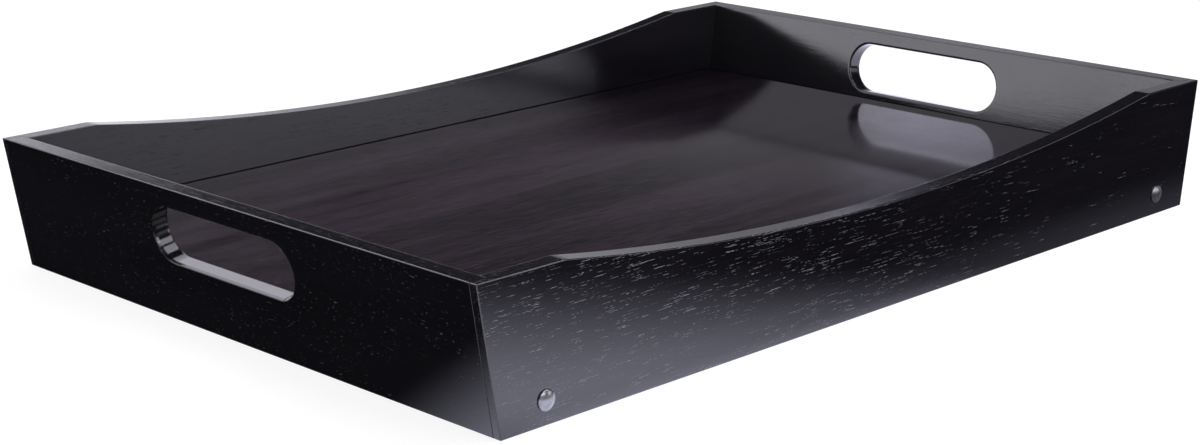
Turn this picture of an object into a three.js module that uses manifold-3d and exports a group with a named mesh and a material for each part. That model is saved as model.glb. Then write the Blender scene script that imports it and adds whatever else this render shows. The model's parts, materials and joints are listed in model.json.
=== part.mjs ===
// A wooden bed tray: upright long boards, end boards that lean outwards with a hand slot in each, a
// floor panel in grooves, and two leg frames that fold flat into the recess under the floor. Sizes are
// in millimetres, +Z is up. The origin is on the table under the middle of the tray, +X runs along its
// length and -Y towards its front board. The legs are modelled folded.
import * as THREE from "three";
import { mergeVertices } from "three/addons/utils/BufferGeometryUtils.js";
import Module from "manifold-3d";

const wasm = await Module();
wasm.setup();

// Tray
const RIM_LENGTH = 500; // outside, along X, at the rim
const WIDTH = 343; // outside, along Y
const HEIGHT = 65.5; // table to rim
const END_TILT = THREE.MathUtils.degToRad(9); // lean of the end boards
const BOARD = 9; // thickness of the four boards
const LIP = 4; // wood of a long board that is left outside its corner rebate
const SHOULDER = 46.6; // level stretch of a long board's top edge, at each end
const SCOOP_DEPTH = 16.3; // how far the hollow of that edge dips below the rim
const SCOOP_STEPS = 48;

// Hand slots, measured along the end board
const SLOT_LENGTH = 104;
const SLOT_HEIGHT = 27.4;
const GRIP_BAR = 9.5; // wood between the slot and the rim
const SLOT_STEPS = 16; // along each round end

// Floor panel
const PANEL = 4; // thickness
const GROOVE_DEPTH = 4; // how far the grooves run into the boards
const JOINT_GAP = 0.3; // glue line of a groove, a rebate or a butt joint

// Folding legs
const LEG_DEPTH = 18; // across the leg, in the plane that it swings in
const LEG_THICKNESS = 14; // along Y
const LEG_HEAD = 2.5; // wood that the rounded head has beyond half the leg's depth
const FOLD_CLEARANCE = 1.7; // from the table up to a folded leg
const STOP_GAP = 0.3; // between the floor panel and the leg heads that stop against it
const SPLAY = THREE.MathUtils.degToRad(5); // a standing leg leans outwards by this
const PIVOT_INSET = 24.2; // pivot to the end board's outer bottom edge
const FOLD_SPACE = 92; // between the feet of the two folded frames
const HEAD_STEPS = 12; // round the head

// Rail between a pair of legs, and its dowels
const RAIL_HEIGHT = 25; // along the leg
const RAIL_THICKNESS = 12;
const RAIL_TO_FOOT = 20;
const DOWEL_DIAMETER = 6;
const DOWEL_LENGTH = 20; // half of it in the leg, half in the rail
const DOWEL_TO_EDGE = 6; // dowel's middle to the rail's edge
const DOWEL_CLEARANCE = 0.15; // round the dowel
const DOWEL_SIDES = 20;

// Pivots
const SHANK_DIAMETER = 5;
const SHANK_CLEARANCE = 0.1; // round the shank in wood
const RIVET_HEAD_DIAMETER = 9;
const RIVET_RIM = 0.7; // upright edge of the head
const RIVET_DOME = 1.3; // rise of the dome above that edge
const RIVET_TAIL_DIAMETER = 8;
const RIVET_TAIL_HEIGHT = 1.4;
const SPACER_DIAMETER = 14;
const SPACER = 1.5; // thickness of the washer between board and leg
const WASHER_DIAMETER = 12;
const WASHER = 1; // thickness of the washer under the rivet's tail
const WASHER_CLEARANCE = 0.2; // round the shank in a washer
const RUN_GAP = 0.2; // on each side of a leg, where it turns
const ROUND_SIDES = 32;
const DOME_STEPS = 5;

// Sizes that follow from those
const outerX = (z) => RIM_LENGTH / 2 - (HEIGHT - z) * Math.tan(END_TILT); // right end's outer face
const endBoardX = BOARD / Math.cos(END_TILT); // an end board's thickness along X
const outerY = WIDTH / 2;
const innerY = outerY - BOARD;
const legHead = LEG_DEPTH / 2 + LEG_HEAD; // pivot to the top of a standing leg
const pivotZ = LEG_DEPTH / 2 + FOLD_CLEARANCE;
const pivotX = outerX(0) - PIVOT_INSET;
const panelZ = pivotZ + legHead + STOP_GAP; // underside of the floor panel
const grooveHalfLength = outerX(panelZ + PANEL / 2) - endBoardX + GROOVE_DEPTH;
const grooveHalfWidth = innerY + GROOVE_DEPTH;
const legReach = pivotX - FOLD_SPACE / 2; // pivot to foot, down a standing leg
const legOuterY = innerY - SPACER - RUN_GAP;
const legInnerY = legOuterY - LEG_THICKNESS;
const railEndY = legInnerY - JOINT_GAP;
const railX = RAIL_TO_FOOT - legReach / Math.cos(SPLAY); // rail's edge nearest the foot, from the pivot
const dowelXs = { lower: railX + DOWEL_TO_EDGE, upper: railX + RAIL_HEIGHT - DOWEL_TO_EDGE };
const shankHole = SHANK_DIAMETER + 2 * SHANK_CLEARANCE;
const past = 2 * BOARD; // how far a cutter runs on beyond what it cuts

const finish = (color, roughness, metalness) =>
  new THREE.MeshStandardMaterial({ color, roughness, metalness });
const stainedWood = finish(0x1b1719, 0.38, 0);
const floorVeneer = finish(0x2a1e20, 0.3, 0);
const dowelWood = finish(0xc9a878, 0.7, 0);
const steel = finish(0xb9bcc2, 0.28, 1);
const nylon = finish(0x202022, 0.6, 0);

// A closed geometry as a solid that can be cut.
function solid(geometry) {
  const bare = geometry.clone();
  bare.deleteAttribute("normal");
  bare.deleteAttribute("uv");
  const merged = mergeVertices(bare);
  const vertProperties = merged.attributes.position.array;
  const triVerts = new Uint32Array(merged.index.array);
  return new wasm.Manifold(new wasm.Mesh({ numProp: 3, vertProperties, triVerts }));
}

// A geometry with others cut out of it.
function cut(geometry, cutters) {
  const mesh = cutters.reduce((left, cutter) => left.subtract(solid(cutter)), solid(geometry)).getMesh();
  const result = new THREE.BufferGeometry();
  result.setAttribute("position", new THREE.BufferAttribute(mesh.vertProperties, 3));
  result.setIndex(new THREE.BufferAttribute(mesh.triVerts, 1));
  return result.toNonIndexed();
}

// An outline in the XZ plane, carried along Y from y0 to y1.
function alongY(shape, y0, y1, curveSegments) {
  const depth = y1 - y0;
  const geometry = new THREE.ExtrudeGeometry(shape, { depth, bevelEnabled: false, curveSegments });
  return geometry.rotateX(Math.PI / 2).translate(0, y1, 0);
}

function box(x0, x1, y0, y1, z0, z1) {
  const geometry = new THREE.BoxGeometry(x1 - x0, y1 - y0, z1 - z0);
  return geometry.translate((x0 + x1) / 2, (y0 + y1) / 2, (z0 + z1) / 2);
}

// A round bar along Y: a pin, or the hole for one.
function bar(diameter, sides, x, y0, y1, z) {
  const geometry = new THREE.CylinderGeometry(diameter / 2, diameter / 2, y1 - y0, sides);
  return geometry.translate(x, (y0 + y1) / 2, z);
}

// A slab that leans as the end board does at that end (1 for right, -1 for left), between two
// distances from the board's outer face.
function leaningSlab(end, from, to, z0, z1, y0, y1) {
  const corner = (away, z) => new THREE.Vector2(end * (outerX(z) + away), z);
  const section = new THREE.Shape([corner(from, z0), corner(to, z0), corner(to, z1), corner(from, z1)]);
  return alongY(section, y0, y1);
}

// The floor panel, or with a gap of 0 the room for it in the boards.
function floorPanel(gap) {
  const halfLength = grooveHalfLength - gap;
  const halfWidth = grooveHalfWidth - gap;
  const grow = JOINT_GAP - gap;
  return box(-halfLength, halfLength, -halfWidth, halfWidth, panelZ - grow, panelZ + PANEL + grow);
}

// A long board, as it stands at the front: ends cut to the lean of the end boards, top edge hollowed by
// an arc, a rebate at each end for the end board, a groove for the floor and a hole for each pivot.
function longBoard() {
  const scoopHalf = RIM_LENGTH / 2 - SHOULDER;
  const radius = (scoopHalf ** 2 + SCOOP_DEPTH ** 2) / (2 * SCOOP_DEPTH);
  const centreZ = HEIGHT - SCOOP_DEPTH + radius;
  const halfAngle = Math.asin(scoopHalf / radius);
  const down = -Math.PI / 2;

  const edge = new THREE.Shape();
  edge.moveTo(-outerX(0), 0);
  edge.lineTo(outerX(0), 0);
  edge.lineTo(outerX(HEIGHT), HEIGHT);
  edge.absarc(0, centreZ, radius, down + halfAngle, down - halfAngle, true);
  edge.lineTo(-outerX(HEIGHT), HEIGHT);
  edge.closePath();

  const rebate = (end) => {
    const [y0, y1] = [LIP - outerY, past - innerY];
    return leaningSlab(end, -endBoardX - JOINT_GAP, past, -past, HEIGHT + past, y0, y1);
  };
  const hole = (end) => bar(shankHole, ROUND_SIDES, end * pivotX, -outerY - past, past - innerY, pivotZ);
  const cutters = [rebate(1), rebate(-1), floorPanel(0), hole(1), hole(-1)];
  return cut(alongY(edge, -outerY, -innerY, SCOOP_STEPS), cutters);
}

// The right end board, with its ends in the rebates, its hand slot square to it and a groove for the floor.
function endBoard() {
  const radius = SLOT_HEIGHT / 2;
  const straight = SLOT_LENGTH / 2 - radius;
  const stadium = new THREE.Shape();
  stadium.moveTo(-straight, -radius);
  stadium.lineTo(straight, -radius);
  stadium.absarc(straight, 0, radius, -Math.PI / 2, Math.PI / 2, false);
  stadium.absarc(-straight, 0, radius, Math.PI / 2, (3 * Math.PI) / 2, false);

  const along = new THREE.Vector3(0, 1, 0);
  const up = new THREE.Vector3(Math.sin(END_TILT), 0, Math.cos(END_TILT));
  const out = new THREE.Vector3().crossVectors(along, up);
  const rim = new THREE.Vector3(outerX(HEIGHT), 0, HEIGHT);
  const middle = rim.addScaledVector(up, -GRIP_BAR - radius);
  const place = new THREE.Matrix4().makeBasis(along, up, out).setPosition(middle);
  const throughBoard = { depth: 2 * past, bevelEnabled: false, curveSegments: SLOT_STEPS };
  const slot = new THREE.ExtrudeGeometry(stadium, throughBoard).translate(0, 0, -past).applyMatrix4(place);

  const halfWidth = outerY - LIP - JOINT_GAP;
  const board = leaningSlab(1, -endBoardX, 0, 0, HEIGHT, -halfWidth, halfWidth);
  return cut(board, [slot, floorPanel(0)]);
}

// A leg of the right frame, folded, from its pivot at the origin towards -X. Its foot and the flat of
// its head are level when it stands; the rest of the head is round, to turn under the floor.
function leg(side) {
  const half = LEG_DEPTH / 2;
  const levelX = (height, z) => (height + z * Math.sin(SPLAY)) / Math.cos(SPLAY);
  const profile = new THREE.Shape();
  profile.moveTo(levelX(-legReach, -half), -half);
  profile.lineTo(levelX(legHead, -half), -half);
  profile.absarc(0, 0, legHead, -SPLAY, Math.asin(half / legHead), false);
  profile.lineTo(levelX(-legReach, half), half);
  profile.closePath();

  const [y0, y1] = [side * legInnerY, side * legOuterY].sort((a, b) => a - b);
  const pivotHole = bar(shankHole, ROUND_SIDES, 0, y0 - past, y1 + past, 0);
  return cut(alongY(profile, y0, y1, HEAD_STEPS), [pivotHole, ...dowelHoles(side)]);
}

// The rail of the right frame, from leg to leg.
function rail() {
  const half = RAIL_THICKNESS / 2;
  const bare = box(railX, railX + RAIL_HEIGHT, -railEndY, railEndY, -half, half);
  return cut(bare, [...dowelHoles(-1), ...dowelHoles(1)]);
}

// A dowel across the joint of rail and leg on one side (-1 or 1), or with gaps the hole for it.
function dowel(side, x, endGap, roundGap) {
  const middle = side * (legInnerY - JOINT_GAP / 2);
  const half = DOWEL_LENGTH / 2 + endGap;
  return bar(DOWEL_DIAMETER + 2 * roundGap, DOWEL_SIDES, x, middle - half, middle + half, 0);
}

function dowelHoles(side) {
  return Object.values(dowelXs).map((x) => dowel(side, x, JOINT_GAP, DOWEL_CLEARANCE));
}

// A rivet of the front side, along Y: domed head outside the board, shank, tail set over the washer.
function rivet() {
  const headRadius = RIVET_HEAD_DIAMETER / 2;
  const domeRadius = (headRadius ** 2 + RIVET_DOME ** 2) / (2 * RIVET_DOME);
  const domeAngle = Math.asin(headRadius / domeRadius);
  const apex = -outerY - RIVET_RIM - RIVET_DOME;
  const tail = RUN_GAP + WASHER - legInnerY;
  const points = [];
  for (let step = 0; step <= DOME_STEPS; step += 1) {
    const angle = (domeAngle * step) / DOME_STEPS;
    points.push([domeRadius * Math.sin(angle), apex + domeRadius * (1 - Math.cos(angle))]);
  }
  points.push([headRadius, -outerY]);
  points.push([SHANK_DIAMETER / 2, -outerY]);
  points.push([SHANK_DIAMETER / 2, tail]);
  points.push([RIVET_TAIL_DIAMETER / 2, tail]);
  points.push([RIVET_TAIL_DIAMETER / 2, tail + RIVET_TAIL_HEIGHT]);
  points.push([0, tail + RIVET_TAIL_HEIGHT]);
  return turned(points);
}

// A washer on the shank, from y0 to y1.
function washer(diameter, y0, y1) {
  const hole = SHANK_DIAMETER / 2 + WASHER_CLEARANCE;
  const rim = diameter / 2;
  return turned([[hole, y0], [rim, y0], [rim, y1], [hole, y1], [hole, y0]]);
}

function turned(points) {
  return new THREE.LatheGeometry(points.map(([r, y]) => new THREE.Vector2(r, y)), ROUND_SIDES);
}

function add(parent, name, geometry, material) {
  const mesh = new THREE.Mesh(geometry, material);
  mesh.name = name;
  parent.add(mesh);
  return mesh;
}

const tray = new THREE.Group();
add(tray, "floor_panel", floorPanel(JOINT_GAP), floorVeneer);
add(tray, "front_board", longBoard(), stainedWood);
add(tray, "back_board", longBoard(), stainedWood).rotation.z = Math.PI;

// The left end is the right end turned half round, so its front and back change places.
const ends = [
  { end: "right", turn: 0, sides: { front: -1, back: 1 } },
  { end: "left", turn: Math.PI, sides: { front: 1, back: -1 } },
];
for (const { end, turn, sides } of ends) {
  const half = new THREE.Group();
  half.rotation.z = turn;
  tray.add(half);
  add(half, `${end}_end_board`, endBoard(), stainedWood);

  const hinge = new THREE.Group();
  hinge.position.set(pivotX, 0, pivotZ);
  half.add(hinge);
  add(hinge, `${end}_rail`, rail(), stainedWood);
  for (const [place, side] of Object.entries(sides)) {
    add(hinge, `${end}_${place}_leg`, leg(side), stainedWood);
    for (const [level, x] of Object.entries(dowelXs)) {
      add(hinge, `${end}_${place}_dowel_${level}`, dowel(side, x, 0, 0), dowelWood);
    }
    const pivot = new THREE.Group();
    pivot.rotation.z = side < 0 ? 0 : Math.PI;
    hinge.add(pivot);
    add(pivot, `${end}_${place}_rivet`, rivet(), steel);
    add(pivot, `${end}_${place}_spacer`, washer(SPACER_DIAMETER, -innerY, SPACER - innerY), nylon);
    const [y0, y1] = [RUN_GAP - legInnerY, RUN_GAP + WASHER - legInnerY];
    add(pivot, `${end}_${place}_washer`, washer(WASHER_DIAMETER, y0, y1), steel);
  }
}

export default tray;
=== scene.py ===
# %% [markdown]
# # A dark wooden bed tray, dressed around its packed frame
#
# The tray has two upright long boards, two leaning end boards with a hand slot in each, a floor let into
# grooves and two leg frames folded underneath. The packed frame already knows where every piece is and
# how the legs turn. This script gives each piece eased edges, real grain and lacquer, and sets up a studio.

# %% Load the frame
import json
import math

import bpy
import numpy as np
from mathutils import Matrix, Vector


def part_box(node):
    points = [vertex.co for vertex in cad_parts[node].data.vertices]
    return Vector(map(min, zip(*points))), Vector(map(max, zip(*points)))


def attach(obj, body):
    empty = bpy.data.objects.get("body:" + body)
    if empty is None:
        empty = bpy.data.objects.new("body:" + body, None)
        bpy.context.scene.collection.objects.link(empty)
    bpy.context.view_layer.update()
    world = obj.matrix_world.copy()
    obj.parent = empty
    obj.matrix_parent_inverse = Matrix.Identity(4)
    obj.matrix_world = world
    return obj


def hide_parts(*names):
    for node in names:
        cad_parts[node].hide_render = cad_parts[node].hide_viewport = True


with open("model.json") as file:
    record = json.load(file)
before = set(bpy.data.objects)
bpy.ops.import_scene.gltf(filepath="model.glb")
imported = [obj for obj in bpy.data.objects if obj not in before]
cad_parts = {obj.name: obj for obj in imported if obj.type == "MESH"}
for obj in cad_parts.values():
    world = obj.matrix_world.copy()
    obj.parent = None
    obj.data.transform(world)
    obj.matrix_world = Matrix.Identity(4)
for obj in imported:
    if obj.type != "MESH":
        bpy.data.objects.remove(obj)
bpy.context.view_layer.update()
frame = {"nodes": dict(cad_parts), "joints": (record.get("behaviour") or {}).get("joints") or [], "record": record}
record = frame["record"]
nodes = frame["nodes"]

# %% [markdown]
# ## Camera
#
# The picture of the tray was taken from beyond its near left corner, a little above the rim. Where the
# corners of the rim fall in that picture fixes the direction, the distance and the focal length, so the
# camera is set from those few numbers. A camera looks along its own -Z axis, with Y up.

# %% Camera
AZIMUTH = math.radians(-44.115)
ELEVATION = math.radians(15.640)
ROLL = math.radians(-0.616)
CAMERA_PLACE = Vector((-0.7889, -0.7943, 0.3195))
FOCAL_WIDTHS = 1.9132  # focal length in picture widths
SENSOR = 36.0

camera_data = bpy.data.cameras.new("tray_camera")
camera_data.sensor_width = SENSOR
camera_data.lens = FOCAL_WIDTHS * SENSOR
camera = bpy.data.objects.new("tray_camera", camera_data)
bpy.context.scene.collection.objects.link(camera)
bpy.context.scene.camera = camera

towards = Vector((
    math.sin(AZIMUTH) * math.cos(ELEVATION),
    -math.cos(AZIMUTH) * math.cos(ELEVATION),
    math.sin(ELEVATION),
))
level = Vector((math.cos(AZIMUTH), math.sin(AZIMUTH), 0))
upright = towards.cross(level)
right = level * math.cos(ROLL) + upright * math.sin(ROLL)
above = upright * math.cos(ROLL) - level * math.sin(ROLL)
camera_axes = Matrix((right, above, towards)).transposed()
camera.matrix_world = Matrix.Translation(CAMERA_PLACE) @ camera_axes.to_4x4()
print("lens", round(camera_data.lens, 2), "mm")

# %% [markdown]
# ## Sizes
#
# Most sizes are read from the packed solids, so the dressed pieces stay where the solids are. A few can't
# be read from a box, such as the lean of the ends, the hollow of the long boards' top edges and the hand
# slots, and they are given here. Blender works in metres, so millimetres get a factor.

# %% Sizes
MM = 0.001
END_TILT = math.radians(9)
LIP = 4 * MM  # wood of a long board outside its corner rebate
SHOULDER = 46.6 * MM  # level stretch of a long board's top edge, at each end
SCOOP_DEPTH = 16.3 * MM
SLOT_LENGTH = 104 * MM
SLOT_HEIGHT = 27.4 * MM
GRIP_BAR = 9.5 * MM  # wood between slot and rim, along the end board
JOINT_GAP = 0.3 * MM
GLUE_LINE = 0.05 * MM  # what shows of the gap where the boards meet

front_low, front_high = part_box("front_board")
panel_low, panel_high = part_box("floor_panel")
RIM_HALF = front_high.x
HEIGHT = front_high.z
OUTER_Y = -front_low.y
BOARD = front_high.y - front_low.y
INNER_Y = OUTER_Y - BOARD
LEAN = math.tan(END_TILT)
SCOOP_HALF = RIM_HALF - SHOULDER
print("rim", 2 * RIM_HALF, "width", 2 * OUTER_Y, "height", HEIGHT, "board", BOARD)

# %% [markdown]
# ## From rings of points to a mesh
#
# Every piece here is a stack of rings: each ring is a closed outline, and the next ring is the same
# outline a little further on. Joining neighbours with four-sided faces gives the skin. A stack that comes
# back to its start, such as a board with a slot, closes on itself, and any other gets a flat face at each
# end. The skin's signed volume tells whether its faces look outwards, and turns them if they don't.

# %% Ring meshes
body_of = {node: body for body, members in record["behaviour"]["bodies"].items() for node in members}
slot_of = {part["node"]: part["material_slot"] for part in record["subparts"]}
finished = {}


def ring_faces(count, around, closed):
    """Face j of ring i joins points j and j + 1 of ring i with the same points of ring i + 1."""
    here = np.arange(count * around).reshape(count, around)
    there = np.roll(here, -1, axis=0)
    if not closed:
        here, there = here[:-1], there[:-1]
    corners = [here, np.roll(here, -1, axis=1), np.roll(there, -1, axis=1), there]
    return np.stack(corners, axis=-1).reshape(-1, 4)


def signed_volume(points, faces):
    """A sixth of the sum of a . (b x c) over the triangles of a closed skin."""
    a, b, c, d = (points[faces[:, k]] for k in range(4))
    return float(np.sum(a * (np.cross(b, c) + np.cross(c, d)))) / 6


def add_piece(node, rings, closed=False):
    """Makes a mesh from rings[ring, point, xyz] and lets it stand for a node of the frame."""
    count, around = rings.shape[:2]
    points = rings.reshape(-1, 3)
    faces = ring_faces(count, around, closed)
    skin = faces.tolist()
    if not closed:
        skin.append(list(range(around))[::-1])
        skin.append(list(range((count - 1) * around, count * around)))
    if signed_volume(points - points.mean(axis=0), faces) < 0:
        skin = [face[::-1] for face in skin]
    mesh = bpy.data.meshes.new(node + "_finished")
    mesh.from_pydata(points.tolist(), [], skin)
    mesh.polygons.foreach_set("use_smooth", np.ones(len(skin), dtype=bool))
    mesh.update()
    piece = bpy.data.objects.new(node + "_finished", mesh)
    bpy.context.scene.collection.objects.link(piece)
    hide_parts(node)
    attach(piece, body_of[node])
    finished[node] = piece
    print(node, len(points), "points", len(skin), "faces")
    return piece


def turned_half_round(rings):
    """The same piece at the other end or side: half a turn about the tray's upright middle line."""
    return rings * np.array([-1, -1, 1])


# %% [markdown]
# ## Eased edges
#
# No edge of a real tray is a knife edge: a maker breaks each arris with a plane or sandpaper, and the
# small round catches the light as a thin bright line. Blender's Bevel could do it, but here the rounds
# are part of the formulas. A round is a quarter turn, and one more row of points beside each round keeps
# the flat faces shading flat.

# %% Rounding helpers
ARRIS = 0.45 * MM
HOLD = 0.6  # the extra row's distance from a round, in radii
ARC_STEPS = 5


def arris_rows(radius):
    """Rows round one arris: inset r - r sin a, depth r - r cos a, with one more row on each side."""
    angle = np.linspace(0, math.pi / 2, ARC_STEPS + 1)
    beside = (1 + HOLD) * radius
    inset = np.concatenate([[beside], radius * (1 - np.sin(angle)), [0]])
    depth = np.concatenate([[0], radius * (1 - np.cos(angle)), [beside]])
    return inset, depth


def edge_rows(radius, thickness, far_radius=None):
    """How far a row lies inside the outline, and how deep in the thickness: in along one face, round the
    arris, across the edge, round the other arris, which may have its own radius, and back."""
    inset, depth = arris_rows(radius)
    far_inset, far_depth = arris_rows(far_radius or radius)
    return np.concatenate([inset, far_inset[::-1]]), np.concatenate([depth, thickness - far_depth[::-1]])


def rounded_loop(corners, radii):
    """A closed outline whose corners are arcs. Each arc touches its two sides at r / tan(half the corner's
    angle) from the corner; its middle lies r / sin(half the angle) inside the corner."""
    back = np.roll(corners, 1, axis=-2) - corners
    ahead = np.roll(corners, -1, axis=-2) - corners
    back = back / np.linalg.norm(back, axis=-1, keepdims=True)
    ahead = ahead / np.linalg.norm(ahead, axis=-1, keepdims=True)
    half = np.arccos(np.clip(np.sum(back * ahead, axis=-1, keepdims=True), -1, 1)) / 2
    radius = radii[..., None]
    reach = radius / np.tan(half)
    out = -(back + ahead) / np.linalg.norm(back + ahead, axis=-1, keepdims=True)
    across = (ahead - back) / np.linalg.norm(ahead - back, axis=-1, keepdims=True)
    middle = corners - out * radius / np.sin(half)
    sweep = (np.linspace(-1, 1, ARC_STEPS + 1) * (math.pi / 2 - half))[..., None]
    turn = out[..., None, :] * np.cos(sweep) + across[..., None, :] * np.sin(sweep)
    arc = middle[..., None, :] + radius[..., None, :] * turn
    first = (corners + back * (reach + HOLD * radius))[..., None, :]
    last = (corners + ahead * (reach + HOLD * radius))[..., None, :]
    loop = np.concatenate([first, arc, last], axis=-2)
    return loop.reshape(*corners.shape[:-2], -1, 2)


def inset_loops(loop, distances):
    """Copies of a counter-clockwise outline, drawn in by each distance: a point moves along the sum of its
    two sides' inward normals over 1 + their dot product, so each side stays parallel to itself."""
    side = np.roll(loop, -1, axis=0) - loop
    side = side / np.linalg.norm(side, axis=1, keepdims=True)
    normal = np.stack([-side[:, 1], side[:, 0]], axis=1)
    before = np.roll(normal, 1, axis=0)
    move = (normal + before) / (1 + np.sum(normal * before, axis=1, keepdims=True))
    return loop + distances[:, None, None] * move


print("rows over one edge", len(edge_rows(ARRIS, BOARD)[0]))

# %% [markdown]
# ## Floor panel
#
# The floor is a thin veneered panel whose edges run into grooves in the four boards. A cube with a Bevel
# would do for it. Here it is the first stack of rings: a rectangle with slightly rounded corners, carried
# through the panel's thickness with eased edges.

# %% Floor panel
PANEL_CORNER = 1.0 * MM
PANEL_ARRIS = 0.3 * MM


def slab_loops(low, high, corner, arris, thickness):
    """A rectangle with rounded corners, carried through a thickness. Gives the loops and their depths."""
    corners = np.array([[low[0], low[1]], [high[0], low[1]], [high[0], high[1]], [low[0], high[1]]])
    outline = rounded_loop(corners, np.full(4, corner))
    inset, depth = edge_rows(arris, thickness)
    loops = inset_loops(outline, inset)
    return loops, np.broadcast_to(depth[:, None], loops.shape[:2])


panel_thickness = panel_high.z - panel_low.z
loops, depth = slab_loops(panel_low.xy, panel_high.xy, PANEL_CORNER, PANEL_ARRIS, panel_thickness)
add_piece("floor_panel", np.dstack([loops, panel_low.z + depth]))

# %% [markdown]
# ## Long boards
#
# A long board is a section carried along X. The section is a tall rectangle with the floor's groove in its
# inner side. Along the board its top follows a shallow arc between two level shoulders, its ends are cut
# to the lean of the end boards, and beyond the corner rebate only a thin lip is left, which laps over the
# end board's edge. Booleans could cut all that from a block, but their edges are hard to ease. The back
# board is the same board turned half round.

# %% Long boards
SCOOP_STATIONS = 65
BESIDE_SCOOP = 2 * MM  # from the end of the arc to the next station
BESIDE_REBATE = 0.6 * MM  # from the rebate's shoulder to the stations before and after it
REBATE_STEP = 0.05 * MM  # the rebate's shoulder is this much out of square, so no face has zero width
LIP_EASE = 0.2  # the lip's inner edges are eased by this share of its outer ones
LEAST_ARRIS = 0.1  # share of an arris that is left where the board's end is drawn in
GROOVE_ARRIS = 0.15 * MM
scoop_radius = (SCOOP_HALF**2 + SCOOP_DEPTH**2) / (2 * SCOOP_DEPTH)
rebate_reach = RIM_HALF - BOARD / math.cos(END_TILT) - GLUE_LINE


def long_board_stations():
    """Distance from the middle along the rim and how far the section is drawn in, for one half."""
    inset, depth = arris_rows(ARRIS)
    reach = np.concatenate([
        np.linspace(0, SCOOP_HALF, SCOOP_STATIONS),
        [SCOOP_HALF + BESIDE_SCOOP, (SCOOP_HALF + rebate_reach) / 2],
        [rebate_reach - BESIDE_REBATE, rebate_reach],
        [rebate_reach + REBATE_STEP, rebate_reach + BESIDE_REBATE],
        RIM_HALF - depth[::-1],
    ])
    drawn_in = np.zeros(len(reach))
    drawn_in[-len(inset):] = inset[::-1]
    return reach, drawn_in


def long_board_rings():
    """Front board: corners of the section at each station, rounded, then leaned at the ends. A station at
    rim distance X stands at X - lean (H - z), where lean grows from 0 at the scoop's end to the end
    boards' own at the rebate. The top is H - depth + R - sqrt(R^2 - X^2) inside the scoop."""
    reach, drawn_in = long_board_stations()
    side = np.concatenate([-np.ones(len(reach) - 1), np.ones(len(reach))])
    reach = np.concatenate([reach[:0:-1], reach])
    drawn_in = np.concatenate([drawn_in[:0:-1], drawn_in])
    lip = reach > rebate_reach + REBATE_STEP / 2

    inside = np.minimum(reach, SCOOP_HALF)
    top = HEIGHT - SCOOP_DEPTH + scoop_radius - np.sqrt(scoop_radius**2 - inside**2) - drawn_in
    bottom = drawn_in
    outer = -OUTER_Y + drawn_in
    inner = np.where(lip, LIP - OUTER_Y - LIP_EASE * drawn_in, -INNER_Y)
    groove = np.where(lip, inner - REBATE_STEP, -panel_high.y - JOINT_GAP)
    groove_low = np.full(len(reach), panel_low.z - JOINT_GAP)
    groove_high = np.full(len(reach), panel_high.z + JOINT_GAP)

    across = [outer, inner, inner, groove, groove, inner, inner, outer]
    heights = [bottom, bottom, groove_low, groove_low, groove_high, groove_high, top, top]
    corners = np.stack([np.stack(across, axis=1), np.stack(heights, axis=1)], axis=-1)
    outer_arris = np.maximum(ARRIS - drawn_in, LEAST_ARRIS * ARRIS)
    inner_arris = np.where(lip, LIP_EASE * outer_arris, ARRIS)
    groove_arris = np.where(lip, LIP_EASE * REBATE_STEP, GROOVE_ARRIS)
    radii = [outer_arris, inner_arris] + [groove_arris] * 4 + [inner_arris, outer_arris]
    section = rounded_loop(corners, np.stack(radii, axis=1))

    y, z = section[..., 0], section[..., 1]
    lean = LEAN * np.clip((reach - SCOOP_HALF) / (rebate_reach - SCOOP_HALF), 0, 1)
    x = side[:, None] * (reach[:, None] - lean[:, None] * (HEIGHT - z))
    return np.stack([x, y, z], axis=-1)


rings = long_board_rings()
add_piece("front_board", rings)
add_piece("back_board", turned_half_round(rings))

# %% [markdown]
# ## End boards
#
# An end board is a leaning plate with a hole: the hand slot, a straight run with two round ends. Its skin
# closes on itself: in along the outer face's rim, over the edge to the inner face, and back through the
# slot. The floor's groove is then cut from the inner face with a box and a Boolean, because it crosses
# the rows of the skin.

# %% End boards
SLOT_ARRIS = 1.0 * MM  # on the inner face, where the fingers go
SLOT_OUTER_ARRIS = 0.5 * MM
JOINT_ARRIS = 0.15 * MM  # the upright edges, which stand in the long boards' rebates
SIDE_POINTS = 24
QUARTER_POINTS = 13
CRISP_ANGLE = math.radians(40)  # edges that turn further than this are shaded as edges

slot_radius = SLOT_HEIGHT / 2
slot_straight = SLOT_LENGTH / 2 - slot_radius
slot_middle = HEIGHT - (GRIP_BAR + slot_radius) * math.cos(END_TILT)
end_half_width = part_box("right_end_board")[1].y


def slot_directions():
    """Angle round the slot of each point, the straight run's offset, and the matching point of the board's
    own outline as shares of its half width and its height."""
    eighth = math.pi / 4
    side = np.linspace(-eighth, eighth, SIDE_POINTS, endpoint=False)
    over = np.concatenate([
        np.linspace(eighth, 2 * eighth, QUARTER_POINTS),
        np.linspace(2 * eighth, 3 * eighth, QUARTER_POINTS - 1, endpoint=False),
    ])
    shift = np.concatenate([np.ones(SIDE_POINTS + QUARTER_POINTS), -np.ones(QUARTER_POINTS - 1)])
    rise = np.linspace(0, 1, SIDE_POINTS, endpoint=False)
    run = np.linspace(1, -1, len(over), endpoint=False)
    angle = np.concatenate([side, over])
    across = np.concatenate([np.ones(SIDE_POINTS), run])
    height = np.concatenate([rise, np.ones(len(over))])
    return (
        np.concatenate([angle, angle + math.pi]),
        np.concatenate([shift, -shift]),
        np.concatenate([across, -across]),
        np.concatenate([height, 1 - height]),
    )


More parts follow.
